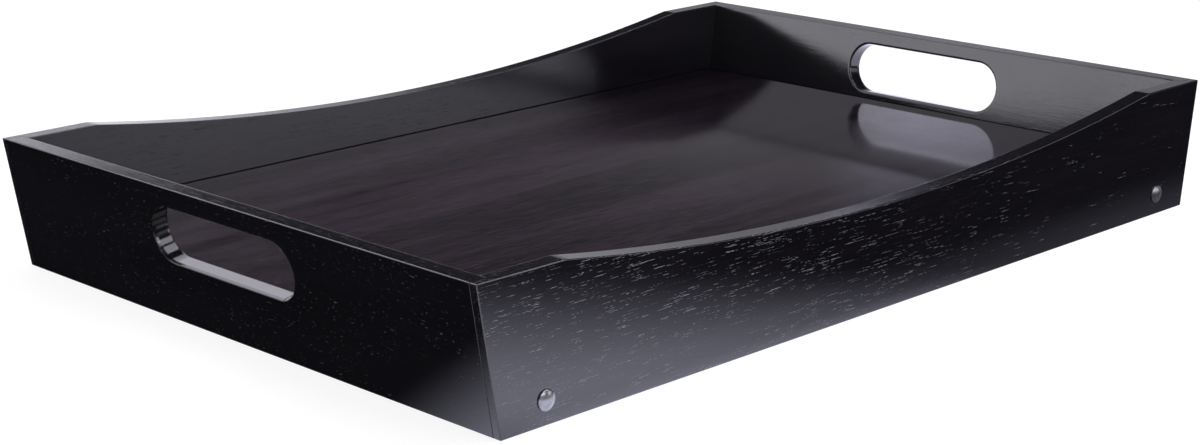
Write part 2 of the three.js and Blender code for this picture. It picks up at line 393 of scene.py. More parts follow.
def end_board_rings():
    """Right end board. A point at height z and depth d under the outer face stands at
    X = rim half - lean (H - z) - d / cos(tilt). The slot is square to the board, so it climbs by
    d sin(tilt) on its way in."""
    angle, shift, across, height = slot_directions()
    inset, depth = edge_rows(ARRIS, BOARD)
    inset, depth = inset[:, None], depth[:, None]
    rim_y = across * (end_half_width - inset * JOINT_ARRIS / ARRIS)
    rim_z = inset + height * (HEIGHT - 2 * inset)
    rim_depth = np.broadcast_to(depth, rim_y.shape)

    inset, depth = edge_rows(SLOT_OUTER_ARRIS, BOARD, SLOT_ARRIS)
    inset, depth = inset[::-1, None], depth[::-1, None]
    radius = slot_radius + inset
    slot_y = shift * slot_straight + radius * np.cos(angle)
    slot_z = slot_middle + radius * np.sin(angle) * math.cos(END_TILT) + depth * math.sin(END_TILT)
    slot_depth = np.broadcast_to(depth, slot_y.shape)

    y, z = np.concatenate([rim_y, slot_y]), np.concatenate([rim_z, slot_z])
    x = RIM_HALF - LEAN * (HEIGHT - z) - np.concatenate([rim_depth, slot_depth]) / math.cos(END_TILT)
    return np.stack([x, y, z], axis=-1)


def cut_box(piece, low, high):
    """Cuts a box out of a piece, and keeps the edges that the cut leaves crisp."""
    x, y, z = (np.array([low[k], high[k]]) for k in range(3))
    floor = np.array([[x[0], y[0]], [x[1], y[0]], [x[1], y[1]], [x[0], y[1]]])
    points = np.concatenate([np.column_stack([floor, np.full(4, level)]) for level in z])
    sides = [[k, (k + 1) % 4, 4 + (k + 1) % 4, 4 + k] for k in range(4)]
    mesh = bpy.data.meshes.new("groove_cutter")
    mesh.from_pydata(points.tolist(), [], [[3, 2, 1, 0], [4, 5, 6, 7]] + sides)
    cutter = bpy.data.objects.new("groove_cutter", mesh)
    bpy.context.scene.collection.objects.link(cutter)
    cut = piece.modifiers.new("groove", "BOOLEAN")
    cut.operation = "DIFFERENCE"
    cut.solver = "EXACT"
    cut.object = cutter
    ready = piece.evaluated_get(bpy.context.evaluated_depsgraph_get())
    carved = bpy.data.meshes.new_from_object(ready)
    piece.modifiers.clear()
    piece.data = carved
    carved.set_sharp_from_angle(angle=CRISP_ANGLE)
    bpy.data.objects.remove(cutter)
    print(piece.name, "cut", len(carved.polygons), "faces")


groove_low = panel_low - Vector((1, 1, 1)) * JOINT_GAP
groove_high = panel_high + Vector((1, 1, 1)) * JOINT_GAP
rings = end_board_rings()
cut_box(add_piece("right_end_board", rings, closed=True), groove_low, groove_high)
cut_box(add_piece("left_end_board", turned_half_round(rings), closed=True), groove_low, groove_high)

# %% [markdown]
# ## Legs
#
# A leg swings on a rivet through its head. The head is round, so that it turns under the floor, apart
# from a flat that comes level against the floor when the leg stands, and the foot is cut to stand level
# too. Like an end board it is a plate with a hole, so its skin closes on itself through the bore.

# %% Legs
LEG_ARRIS = 1.0 * MM
BORE_ARRIS = 0.25 * MM
BORE_CLEARANCE = 0.1 * MM
SHANK = 2.5 * MM  # radius of the rivet's shank
HEAD_EXTRA = 2.5 * MM  # wood of the head beyond half the leg's depth
HEAD_POINTS = 14
UPPER_RAYS = np.radians(np.linspace(60, 172, 17))  # bearings of the points along the upper edge
LOWER_RAYS = np.radians(np.linspace(188, 312, 18))  # and along the lower edge

joint_of = {joint["child"]: joint for joint in frame["joints"]}
pivot_x, _, pivot_z = joint_of["right_legs"]["pos_m"]
SPLAY = math.radians(joint_of["right_legs"]["range_deg"][1] - 90)
leg_low, leg_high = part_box("right_front_leg")
leg_half = (leg_high.z - leg_low.z) / 2


def leg_outline():
    """Counter-clockwise outline about the pivot: the round of the head, the upper edge, the foot, the lower
    edge and the end of the head's flat. On the straight edges the points lie where rays from the pivot,
    evenly turned, meet them: at half depth / tan(bearing). Foot and flat are out of square by the splay."""
    head = leg_half + HEAD_EXTRA
    heel = leg_low.x - pivot_x
    toe = heel + 2 * leg_half * math.tan(SPLAY)
    flat_end = (head - leg_half * math.sin(SPLAY)) / math.cos(SPLAY)
    turn = np.linspace(-SPLAY, math.asin(leg_half / head), HEAD_POINTS)
    return np.concatenate([
        head * np.column_stack([np.cos(turn), np.sin(turn)]),
        leg_half * np.column_stack([1 / np.tan(UPPER_RAYS), np.ones(len(UPPER_RAYS))]),
        [[toe, leg_half], [heel, -leg_half]],
        -leg_half * np.column_stack([1 / np.tan(LOWER_RAYS), np.ones(len(LOWER_RAYS))]),
        [[flat_end, -leg_half]],
    ])


def leg_rings(low_y, high_y):
    """A leg of the right frame, folded: its outline carried from one side to the other, then back through
    the bore, a circle about the pivot whose points face those of the outline."""
    outline = leg_outline()
    bearing = np.arctan2(outline[:, 1], outline[:, 0])
    inset, depth = edge_rows(LEG_ARRIS, high_y - low_y)
    skin = inset_loops(outline, inset)
    bore_inset, bore_depth = edge_rows(BORE_ARRIS, high_y - low_y)
    radius = (SHANK + BORE_CLEARANCE + bore_inset[::-1])[:, None]
    bore = np.stack([radius * np.cos(bearing), radius * np.sin(bearing)], axis=-1)
    loops = np.concatenate([skin, bore])
    y = low_y + np.concatenate([depth, bore_depth[::-1]])
    y = np.broadcast_to(y[:, None], loops.shape[:2])
    return np.stack([pivot_x + loops[..., 0], y, pivot_z + loops[..., 1]], axis=-1)


front_leg = leg_rings(leg_low.y, leg_high.y)
back_leg = leg_rings(-leg_high.y, -leg_low.y)
add_piece("right_front_leg", front_leg, closed=True)
add_piece("right_back_leg", back_leg, closed=True)
add_piece("left_back_leg", turned_half_round(front_leg), closed=True)
add_piece("left_front_leg", turned_half_round(back_leg), closed=True)

# %% [markdown]
# ## Rails
#
# A rail ties each pair of legs together near their feet. It is a slab again, this time carried along Y
# from leg to leg, and its ends stay nearly square because they butt against the legs.

# %% Rails
RAIL_CORNER = 1.2 * MM
RAIL_END_ARRIS = 0.2 * MM

rail_low, rail_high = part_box("right_rail")
section = [(rail_low.x, rail_low.z), (rail_high.x, rail_high.z)]
loops, depth = slab_loops(*section, RAIL_CORNER, RAIL_END_ARRIS, rail_high.y - rail_low.y)
rings = np.stack([loops[..., 0], rail_low.y + depth, loops[..., 1]], axis=-1)
add_piece("right_rail", rings)
add_piece("left_rail", turned_half_round(rings))

# %% [markdown]
# ## Rivets and washers
#
# These are turned pieces: a profile of radius and depth goes once round the pivot's axis, as Blender's
# Screw modifier would turn it. A rivet has a low dome outside the board, a shank through board and leg,
# and a tail set over a washer. The packed solids have few sides, so each is made again with a rounder turn
# and broken edges.

# %% Rivets and washers
TURN_POINTS = 72
DOME_ROWS = 22
DOME_EDGE = 0.7 * MM  # upright rim under the dome
DOME_TOP = 0.15 * MM  # radius of the small flat that closes the dome
RIM_ROUND = 0.15 * MM
SHANK_ROUND = RIM_ROUND / 2  # where head, shank and tail meet
RIVET_TAIL = 4 * MM  # radius of the tail
TAIL_ROUND = 0.45 * MM
WASHER_CLEARANCE = 0.2 * MM
WASHER_ARRIS = {"spacer": 0.25 * MM, "washer": 0.2 * MM}


def turned_rings(profile, x, z):
    """Each profile point (radius, y) goes round the axis through (x, z) along Y."""
    turn = np.linspace(0, 2 * math.pi, TURN_POINTS, endpoint=False)
    radius, y = profile[:, :1], np.broadcast_to(profile[:, 1:], (len(profile), TURN_POINTS))
    return np.stack([x + radius * np.cos(turn), y, z + radius * np.sin(turn)], axis=-1)


def rounded_path(corners, radii):
    """An open line with rounded corners between its first and last point."""
    per_corner = ARC_STEPS + 3
    loop = rounded_loop(corners, radii)
    return np.concatenate([corners[:1], loop[per_corner:-per_corner], corners[-1:]])


def rivet_profile(head, head_low, tail_high):
    """Dome: r = R sin a, depth = R (1 - cos a) from its top. Then the rim, the shank and the tail."""
    dome_foot = head - RIM_ROUND
    rise = -OUTER_Y - head_low - DOME_EDGE
    dome_radius = (dome_foot**2 + rise**2) / (2 * rise)
    angle = np.linspace(DOME_TOP / dome_radius, math.asin(dome_foot / dome_radius), DOME_ROWS)
    dome = np.column_stack([dome_radius * np.sin(angle), head_low + dome_radius * (1 - np.cos(angle))])
    tail_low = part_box("right_front_washer")[1].y
    corners = np.array([
        dome[-1], [head, head_low + rise + RIM_ROUND], [head, -OUTER_Y], [SHANK, -OUTER_Y],
        [SHANK, tail_low], [RIVET_TAIL, tail_low], [RIVET_TAIL, tail_high], [DOME_TOP, tail_high],
    ])
    radii = np.array([RIM_ROUND] + [SHANK_ROUND] * 4 + [RIM_ROUND, TAIL_ROUND, RIM_ROUND])
    return np.concatenate([dome[:-1], rounded_path(corners, radii)])


def washer_profile(low, high, arris):
    """A rectangle beside the axis, with broken edges: bore, one face, rim, other face."""
    bore, rim = SHANK + WASHER_CLEARANCE, (high.x - low.x) / 2
    corners = np.array([[bore, low.y], [rim, low.y], [rim, high.y], [bore, high.y]])
    return rounded_loop(corners, np.full(4, arris))


def add_turned(kind, profile, closed):
    """One turned piece at each of the four pivots."""
    for side, place in ((1, "front"), (-1, "back")):
        mirrored = profile * np.array([1, side])
        for end, x in (("right", pivot_x), ("left", -pivot_x)):
            add_piece(f"{end}_{place}_{kind}", turned_rings(mirrored, x, pivot_z), closed)


rivet_low, rivet_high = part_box("right_front_rivet")
rivet_head = (rivet_high.x - rivet_low.x) / 2
add_turned("rivet", rivet_profile(rivet_head, rivet_low.y, rivet_high.y), closed=False)
for kind, arris in WASHER_ARRIS.items():
    low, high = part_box(f"right_front_{kind}")
    add_turned(kind, washer_profile(low, high, arris), closed=True)

# %% [markdown]
# ## Wiring shader nodes
#
# A finish is a small network of nodes. In the Shader Editor each node is added and linked by hand. In code
# that would be many lines that look alike, so a class turns each node into one short call: a value that is
# a socket is linked, and any other is set on the input. An effect that several finishes share goes into a
# node group with named sockets.

# %% Node helpers


class Wiring:
    """Short calls that add a node to a tree, fill its inputs and give back its first output."""

    def __init__(self, tree):
        self.tree = tree

    def node(self, kind, **settings):
        made = self.tree.nodes.new(kind)
        for name, value in settings.items():
            setattr(made, name, value)
        return made

    def put(self, socket, value):
        if isinstance(value, bpy.types.NodeSocket):
            self.tree.links.new(value, socket)
        else:
            socket.default_value = value

    def fill(self, made, *values, **named):
        """Puts values into a node's inputs, in order or by name."""
        for socket, value in zip(made.inputs, values):
            self.put(socket, value)
        for name, value in named.items():
            self.put(made.inputs[name.replace("_", " ")], value)
        return made.outputs[0]

    def math(self, operation, *values):
        return self.fill(self.node("ShaderNodeMath", operation=operation), *values)

    def product(self, first, *others):
        for other in others:
            first = self.math("MULTIPLY", first, other)
        return first

    def vector(self, operation, *values):
        return self.fill(self.node("ShaderNodeVectorMath", operation=operation), *values)

    def measure(self, operation, *values):
        """Vector maths that gives a number, such as a length."""
        made = self.node("ShaderNodeVectorMath", operation=operation)
        self.fill(made, *values)
        return made.outputs["Value"]

    def split(self, vector):
        made = self.node("ShaderNodeSeparateXYZ")
        self.fill(made, vector)
        return made.outputs

    def ramp(self, value, low, high, start=0.0, end=1.0):
        """Start below low, end above high, and a smooth step between them."""
        made = self.node("ShaderNodeMapRange", interpolation_type="SMOOTHSTEP")
        return self.fill(made, value, low, high, start, end)

    def noise(self, vector, scale, detail=2.0, roughness=0.5):
        made = self.node("ShaderNodeTexNoise")
        self.fill(made, Vector=vector, Scale=scale, Detail=detail, Roughness=roughness)
        return made.outputs

    def blend(self, share, first, second):
        """Two colours mixed. The Mix node keeps its colours in inputs 6 and 7 and output 2."""
        made = self.node("ShaderNodeMix", data_type="RGBA")
        self.put(made.inputs["Factor"], share)
        self.put(made.inputs[6], first)
        self.put(made.inputs[7], second)
        return made.outputs[2]

    def shader(self, kind, **values):
        return self.fill(self.node(kind), **values)

    def mix(self, share, first, second):
        """Two shaders mixed."""
        return self.fill(self.node("ShaderNodeMixShader"), share, first, second)


def new_group(name, numbers, outputs):
    """A node group that reads a vector and named numbers, and gives named numbers that vary in space."""
    group = bpy.data.node_groups.new(name, "ShaderNodeTree")
    group.interface.new_socket("Vector", in_out="INPUT", socket_type="NodeSocketVector")
    for socket, value in numbers.items():
        made = group.interface.new_socket(socket, in_out="INPUT", socket_type="NodeSocketFloat")
        made.default_value = value
    for socket in outputs:
        group.interface.new_socket(socket, in_out="OUTPUT", socket_type="NodeSocketFloat")
    given = group.nodes.new("NodeGroupInput").outputs
    result = group.nodes.new("NodeGroupOutput").inputs
    return group, Wiring(group), given, result


def use_group(wire, group, **values):
    """The outputs of a group, with its inputs set by name."""
    made = wire.node("ShaderNodeGroup", node_tree=group)
    wire.fill(made, **values)
    return made.outputs


print("node helpers", [name for name in vars(Wiring) if not name.startswith("_")])

# %% [markdown]
# ## Grain
#
# Open-pored wood shows three things under a dark stain: broad bands, fine streaks, and pores, short dashes
# that lie in rows along the grain. All of them can be noise, stretched along the grain. A row of pores is
# the crest of a long thin noise, and a shorter noise cuts it into dashes. Towards one end of the board the
# pores thin out. It is all one node group, because the boards, the floor and the dowels use it.

# %% Grain group
PATCH = (70 * MM, 12 * MM)  # length and width of the patches that the pores keep to
BAND = (300 * MM, 20 * MM)
FIBRE = (8 * MM, 0.4 * MM)
ROW_PORES = 8.0  # a row's length, in pores
ROW_EDGE = 0.04  # how far above the crest a row is at its full strength
WANDER = 2 * MM  # how far the grain strays from straight
WANDER_SCALE = 14.0
THIN_START, THIN_END = 0.0, 0.16  # along the grain, where the pores thin out
STREAK_RELIEF = 0.25
FIBRE_RELIEF = 0.25


def make_grain_group():
    """Grain along X. A stretched noise is a plain noise read at (x / length, y / width, z / width). Rows are
    its crests above a level that rises along the board, and pores are rows times cuts times patches. Height
    is some of the streaks and the fibre, less the pores."""
    group, wire, given, result = new_group(
        "wood_grain",
        {
            "Pore Length": 1.6 * MM,
            "Pore Width": 0.23 * MM,
            "Pore Crest": 0.7,
            "Pore Thinning": 0.1,
            "Streak Length": 40 * MM,
            "Streak Width": 0.6 * MM,
        },
        ("Streaks", "Bands", "Pores", "Fibre", "Height", "Far"),
    )
    wander = wire.noise(given["Vector"], WANDER_SCALE, detail=1.0)["Color"]
    drift = wire.vector("MULTIPLY", wander, (0.0, WANDER, WANDER))
    fibre = wire.vector("ADD", given["Vector"], drift)

    def stretched(length, width, detail=2.0, roughness=0.5):
        size = wire.fill(wire.node("ShaderNodeCombineXYZ"), length, width, width)
        return wire.noise(wire.vector("DIVIDE", fibre, size), 1.0, detail, roughness)["Fac"]

    far = wire.ramp(wire.split(given["Vector"])["X"], THIN_START, THIN_END)
    crest = wire.math("MULTIPLY_ADD", far, given["Pore Thinning"], given["Pore Crest"])
    row_length = wire.math("MULTIPLY", given["Pore Length"], ROW_PORES)
    rows = stretched(row_length, given["Pore Width"], detail=0.0)
    rows = wire.ramp(rows, crest, wire.math("ADD", crest, ROW_EDGE))
    cuts = wire.ramp(stretched(given["Pore Length"], given["Pore Width"], detail=0.0), 0.48, 0.56)
    patches = wire.ramp(stretched(*PATCH), 0.25, 0.6)
    pores = wire.product(cuts, rows, patches)

    streaks = stretched(given["Streak Length"], given["Streak Width"], detail=3.0, roughness=0.6)
    streaks = wire.ramp(streaks, 0.38, 0.62)
    fine = stretched(*FIBRE, detail=1.0)
    relief = wire.math("SUBTRACT", wire.math("MULTIPLY", streaks, STREAK_RELIEF), pores)
    layers = {
        "Streaks": streaks,
        "Bands": wire.ramp(stretched(*BAND), 0.35, 0.65),
        "Pores": pores,
        "Fibre": wire.ramp(fine, 0.45, 0.75),
        "Height": wire.math("MULTIPLY_ADD", fine, FIBRE_RELIEF, relief),
        "Far": far,
    }
    for socket, value in layers.items():
        wire.put(result[socket], value)
    return group


grain_group = make_grain_group()
print("group", grain_group.name, len(grain_group.nodes), "nodes")

# %% [markdown]
# ## Handling marks
#
# Lacquer and steel that are handled have faint cloudy marks, where the gloss is a little lower. A second
# group gives that as a value from 0 to 1, and each finish adds its own share of it to its roughness.

# %% Handling group


def make_handling_group():
    """Soft clouds broken up by a finer noise."""
    group, wire, given, result = new_group("handling_marks", {"Cloud Size": 50 * MM}, ("Marks",))
    scale = wire.math("DIVIDE", 1.0, given["Cloud Size"])
    clouds = wire.noise(given["Vector"], scale, detail=4.0, roughness=0.6)["Fac"]
    wire.put(result["Marks"], wire.ramp(clouds, 0.35, 0.7))
    return group


handling_group = make_handling_group()
print("group", handling_group.name, len(handling_group.nodes), "nodes")

# %% [markdown]
# ## Outer faces and rims
#
# The pores stand open on the outer faces of the boards, while the inner faces were filled and rubbed
# smoother. A third group tells the two apart from a point's place alone: it measures how far the point lies
# under the outer face of the nearest board, and gives 1 on that face and 0 deeper in the wood. It also marks
# the level rims, which have a finish of their own.

# %% Outer-face group


def make_outer_face_group():
    """A point's depth under a long board's face is outer Y - |y|, and under an end board's face it is
    rim half - lean (H - z) - |x|. Top steps up from 0 to 1 at the rim's height."""
    group, wire, given, result = new_group("outer_faces", {}, ("Outside", "Top"))
    place = wire.split(given["Vector"])
    along, across = (wire.math("ABSOLUTE", place[axis]) for axis in "XY")
    leaned = wire.math("MULTIPLY_ADD", place["Z"], -LEAN, along)
    over_end = wire.math("SUBTRACT", leaned, RIM_HALF - LEAN * HEIGHT)
    over_side = wire.math("SUBTRACT", across, OUTER_Y)
    nearest = wire.math("MAXIMUM", over_end, over_side)
    wire.put(result["Outside"], wire.ramp(nearest, -BOARD / 4, -ARRIS))
    wire.put(result["Top"], wire.ramp(place["Z"], HEIGHT - ARRIS, HEIGHT - ARRIS / 4))
    return group


outer_face_group = make_outer_face_group()
print("group", outer_face_group.name, len(outer_face_group.nodes), "nodes")

# %% [markdown]
# ## Stained wood
#
# The boards, legs and rails are stained nearly black and lacquered to a satin gloss. The gloss is the
# shader's own, with a low roughness. In an open pore the lacquer is missing, so a pore is rough and paler,
# and shows best where the lacquer mirrors something dark. The rims are rubbed smoother, apart from fibres
# that stand up. The end boards' inner faces dried a little hollow, which bends what they mirror: a broad
# bump gives that and leaves the mesh flat. The grain runs along X in one finish and is turned a quarter
# for the pieces that run along Y.

# %% Stained wood
QUARTER_TURN = -math.pi / 2
LACQUER_IOR = 1.58
MARK_ROUGHNESS = 0.02
PORE_ROUGHNESS = 0.8
RUBBED_ROUGHNESS = -0.045  # what rubbing takes off the roughness of the rims
FIBRE_ROUGHNESS = 0.07  # what their fibres add
STAIN_DARK = (0.0042, 0.0037, 0.005, 1.0)
STAIN_LIGHT = (0.009, 0.008, 0.0098, 1.0)
PORE_PALE = (0.3, 0.3, 0.32, 1.0)


def new_finish(name):
    """A material, a Wiring for its tree, and its shader."""
    material = bpy.data.materials.new(name)
    material.use_nodes = True
    wire = Wiring(material.node_tree)
    return material, wire, material.node_tree.nodes["Principled BSDF"]


def place_pattern(wire, turn=0.0):
    """Object coordinates, turned about the upright axis so that the pattern's X follows the grain."""
    mapping = wire.node("ShaderNodeMapping")
    where = wire.node("ShaderNodeTexCoord").outputs["Object"]
    return wire.fill(mapping, Vector=where, Rotation=(0.0, 0.0, turn))


def cup_height(wire, where, outside, sag):
    """An inner face that dried hollow: sag (1 - z / H)^2 at height z, and nothing on the outer face."""
    below = wire.math("MULTIPLY_ADD", wire.split(where)["Z"], -1.0 / HEIGHT, 1.0)
    return wire.product(below, below, wire.math("MULTIPLY_ADD", outside, -sag, sag))


def wood_finish(name, turn, dark, light, gloss, relief, pore=None, cup=0.0, far_darkening=0.0, **grain_values):
    """The stain goes from dark to light with the mean of streaks and bands, and that mean is cut by a share
    towards the far end, so that end is darker. A pore colour opens the pores of the outer faces. gloss is the
    lacquer's roughness, relief the depth of the grain in metres, and cup the hollow of the inner faces in metres."""
    material, wire, shader = new_finish(name)
    where = place_pattern(wire, turn)
    grain = use_group(wire, grain_group, Vector=where, **grain_values)
    marks = use_group(wire, handling_group, Vector=where)["Marks"]
    faces = use_group(wire, outer_face_group, Vector=place_pattern(wire))

    mean = wire.math("MULTIPLY", wire.math("ADD", grain["Streaks"], grain["Bands"]), 0.5)
    # Towards the far end the stain is darker by this share.
    kept_share = wire.math("MULTIPLY_ADD", grain["Far"], -far_darkening, 1.0)
    colour = wire.blend(wire.math("MULTIPLY", mean, kept_share), dark, light)
    rough = wire.math("MULTIPLY_ADD", marks, MARK_ROUGHNESS, gloss)
    rim = wire.math("MULTIPLY_ADD", grain["Fibre"], FIBRE_ROUGHNESS, RUBBED_ROUGHNESS)
    rough = wire.math("MULTIPLY_ADD", faces["Top"], rim, rough)
    if pore:
        pores = wire.math("MULTIPLY", grain["Pores"], faces["Outside"])
        colour = wire.blend(pores, colour, pore)
        rough = wire.math("MAXIMUM", rough, wire.math("MULTIPLY", pores, PORE_ROUGHNESS))

    bump = wire.node("ShaderNodeBump")
    normal = wire.fill(bump, Distance=relief, Height=grain["Height"])
    if cup:
        height = cup_height(wire, where, faces["Outside"], cup)
        hollow = wire.shader("ShaderNodeBump", Distance=1.0, Height=height)
        wire.put(bump.inputs["Normal"], hollow)
    shader.inputs["IOR"].default_value = LACQUER_IOR
    wire.fill(shader, Base_Color=colour, Roughness=rough, Normal=normal)
    return material


stained = {"dark": STAIN_DARK, "light": STAIN_LIGHT, "pore": PORE_PALE, "relief": 0.012 * MM}
stained_along = wood_finish("stained_wood_along", 0.0, gloss=0.11, **stained)
stained_across = wood_finish(
    "stained_wood_across", QUARTER_TURN, gloss=0.09, cup=0.8 * MM,
    Pore_Crest=0.775, Pore_Length=0.3 * MM, Pore_Thinning=0.02, **stained
)
print("finishes", stained_along.name, stained_across.name)

# %% [markdown]
# ## Floor veneer, dowels, steel and nylon
#
# The floor is a finer veneer with a red-brown stain, paler towards its left end, and its lacquer mirrors the
# boards. The dowels are bare wood inside their joints. The rivets and washers are satin steel with faint
# turning lines, and the spacers dull black nylon. The wood uses the same function with other values.

# %% Other finishes
VENEER_DARK = (0.0045, 0.004, 0.0055, 1.0)
VENEER_LIGHT = (0.0405, 0.0258, 0.036, 1.0)
DOWEL_DARK = (0.5, 0.34, 0.17, 1.0)
DOWEL_LIGHT = (0.62, 0.44, 0.24, 1.0)
STEEL_CLEAN = (0.23, 0.235, 0.24, 1.0)
STEEL_MARKED = (0.18, 0.185, 0.19, 1.0)
TURNING_LINES = (400.0, 5000.0, 400.0)  # to the metre, along X, Y and Z
NYLON_DARK = (0.018, 0.018, 0.02, 1.0)
NYLON_LIGHT = (0.03, 0.03, 0.032, 1.0)

# The floor's stain is darker towards its right end.
floor_veneer = wood_finish(
    "floor_veneer", 0.0, VENEER_DARK, VENEER_LIGHT, gloss=0.1, relief=0.01 * MM, far_darkening=0.75,
    Pore_Crest=0.8, Streak_Length=14 * MM, Streak_Width=1.1 * MM,
)
dowel_wood = wood_finish(
    "dowel_wood", QUARTER_TURN, DOWEL_DARK, DOWEL_LIGHT, gloss=0.6, relief=0.05 * MM, Pore_Crest=0.62,
)


def steel_finish():
    """Satin steel: fine turning lines round the axis along Y, and faint handling marks."""
    material, wire, shader = new_finish("rivet_steel")
    where = place_pattern(wire)
    marks = use_group(wire, handling_group, Vector=where, Cloud_Size=4 * MM)["Marks"]
    lines = wire.noise(wire.vector("MULTIPLY", where, TURNING_LINES), 1.0)["Fac"]
    shader.inputs["Metallic"].default_value = 0.8
    wire.fill(
        shader,
        Base_Color=wire.blend(marks, STEEL_CLEAN, STEEL_MARKED),
        Roughness=wire.math("MULTIPLY_ADD", marks, 0.12, 0.2),
        Normal=wire.shader("ShaderNodeBump", Strength=0.03, Distance=0.05 * MM, Height=lines),
    )
    return material


def nylon_finish():
    """Dull black nylon with a fine mottled skin."""
    material, wire, shader = new_finish("spacer_nylon")
    marks = use_group(wire, handling_group, Vector=place_pattern(wire), Cloud_Size=3 * MM)["Marks"]
    wire.fill(
        shader,
        Base_Color=wire.blend(marks, NYLON_DARK, NYLON_LIGHT),
        Roughness=wire.math("MULTIPLY_ADD", marks, 0.15, 0.5),
    )
    return material


finish_of = {
    "floor_veneer": floor_veneer,
    "dowel_wood": dowel_wood,
    "rivet_steel": steel_finish(),
    "spacer_nylon": nylon_finish(),
}
for node, piece in finished.items():
    runs_across = node.endswith("end_board") or node.endswith("rail")
    stained_wood = stained_across if runs_across else stained_along
    piece.data.materials.clear()
    piece.data.materials.append(finish_of.get(slot_of[node], stained_wood))
kept = [node for node in nodes if node not in finished]
for node in kept:
    nodes[node].material_slots[0].material = finish_of[slot_of[node]]
print("finished", len(finished), "pieces; kept from the frame", len(kept))

# %% [markdown]
# ## Studio floor
#
# The tray stands on a plain white floor. To the camera the floor glows white, a little more with distance
# so that it runs into the backdrop, and takes some real light too, so that it keeps the tray's shadow. Dark
# lacquer shows what it mirrors more than its own colour, so mirrored rays see painted light and shade on the
# floor: a painted pool of light before the near corner, and painted shade away from it. To other light the
# floor is a grey that stands in for shade. From below the floor is clear. When the legs stand, it has to
# follow the feet down: two Floor constraints hold it under two empties that ride on the soles.

# %% Studio floor
FLOOR_HALF = 4.0
LIT_SHARE = 0.25
LIT_WHITE = (0.85, 0.85, 0.85, 1.0)
# Painted shade and painted light on the floor for rays other than the camera's: grey to bounced light, and a tint
# for the painted glows in reflections.
PAINTED_SHADE_GREY = (0.3, 0.3, 0.3, 1.0)
MIRRORED_TINT = (1.0, 1.0, 1.25, 1.0)
WHITE_RUN = (0.8, 2.5, 1.16, 1.34)  # distances from the middle, and the white's strength there

LEFT, RIGHT = (-1.0, 0.0, 0.0), (1.0, 0.0, 0.0)
FRONT, BACK = (0.0, -1.0, 0.0), (0.0, 1.0, 0.0)
LEFT_BACK = (-0.7, 0.714, 0.0)
UNDER_TRAY = ((RIGHT, -0.24, -0.2), (BACK, -0.22, -0.165))
# The floor's painted shade to mirrored rays, away from its painted pools of light.
LEAST_GLOW = 0.015
# Each painted light on the floor, seen only in reflections: its strength, and steps that bound it, as a direction
# with a start and an end.
PAINTED_FLOOR_LIGHT = {
    "before the near corner": (2.05, ((LEFT_BACK, -0.19, 0.01), (FRONT, 0.1, 0.21))),
    "under the tray": (0.2, UNDER_TRAY),
    "at the front board's foot": (0.6, UNDER_TRAY + ((LEFT, -0.1, 0.0), (BACK, -0.185, -0.17))),
    "beyond the right end": (1.5, ((RIGHT, 0.25, 0.27), (BACK, -0.172, -0.166))),
}


def floor_finish():
    """White to the camera, painted light and shade to mirrored rays, grey painted shade to other light, and clear
    from below. A painted glow is its strength times a smooth step along each of its directions, and the glows add
    up."""
    material, wire, shader = new_finish("studio_floor")
    material.node_tree.nodes.remove(shader)
    paths = wire.node("ShaderNodeLightPath").outputs
    where = wire.node("ShaderNodeTexCoord").outputs["Object"]

    glow = LEAST_GLOW
    for strength, steps in PAINTED_FLOOR_LIGHT.values():
        bounds = [wire.ramp(wire.measure("DOT_PRODUCT", where, way), low, high) for way, low, high in steps]
        glow = wire.math("MULTIPLY_ADD", wire.product(*bounds), strength, glow)
    # Painted light and shade on the floor, seen only in reflections.
    mirrored = wire.shader("ShaderNodeEmission", Color=MIRRORED_TINT, Strength=glow)
    # Painted shade: the floor is grey to bounced light.
    dull = wire.shader("ShaderNodeBsdfDiffuse", Color=PAINTED_SHADE_GREY)
    unseen = wire.mix(paths["Is Glossy Ray"], dull, mirrored)

    white = wire.ramp(wire.measure("LENGTH", where), *WHITE_RUN)
    shining = wire.shader("ShaderNodeEmission", Strength=white)
    seen = wire.mix(LIT_SHARE, shining, wire.shader("ShaderNodeBsdfDiffuse", Color=LIT_WHITE))
    above = wire.mix(paths["Is Camera Ray"], unseen, seen)
    clear = wire.shader("ShaderNodeBsdfTransparent")
    final = wire.mix(wire.node("ShaderNodeNewGeometry").outputs["Backfacing"], above, clear)
    wire.put(material.node_tree.nodes["Material Output"].inputs["Surface"], final)
    return material


floor_mesh = bpy.data.meshes.new("studio_floor")
corners = np.array([[-1, -1, 0], [1, -1, 0], [1, 1, 0], [-1, 1, 0]]) * FLOOR_HALF
floor_mesh.from_pydata(corners.tolist(), [], [[0, 1, 2, 3]])
studio_floor = bpy.data.objects.new("studio_floor", floor_mesh)
bpy.context.scene.collection.objects.link(studio_floor)
floor_mesh.materials.append(floor_finish())

sole_x = leg_low.x - leg_low.z * math.tan(SPLAY)
for end, x in (("left", -sole_x), ("right", sole_x)):
    sole = bpy.data.objects.new(end + "_sole", None)
    sole.location = (x, 0.0, 0.0)
    bpy.context.scene.collection.objects.link(sole)
    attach(sole, end + "_legs")
    hold = studio_floor.constraints.new("FLOOR")
    hold.target = sole
    hold.floor_location = "FLOOR_NEGATIVE_Z"
print("soles at", round(sole_x, 4))

# %% [markdown]
# ## Light
#
# Five softboxes light the tray: a large one overhead at the back, one above the near half, and three in
# front. An area lamp shows in lacquer as a rectangle, so its place and size matter as much as its power.
# The world is plain white to the camera. Everything else sees a room: a bright band low down behind the
# tray, a card to its right, and dim walls.

# %% Light
LAMP_TINT = (0.98, 0.95, 1.06)
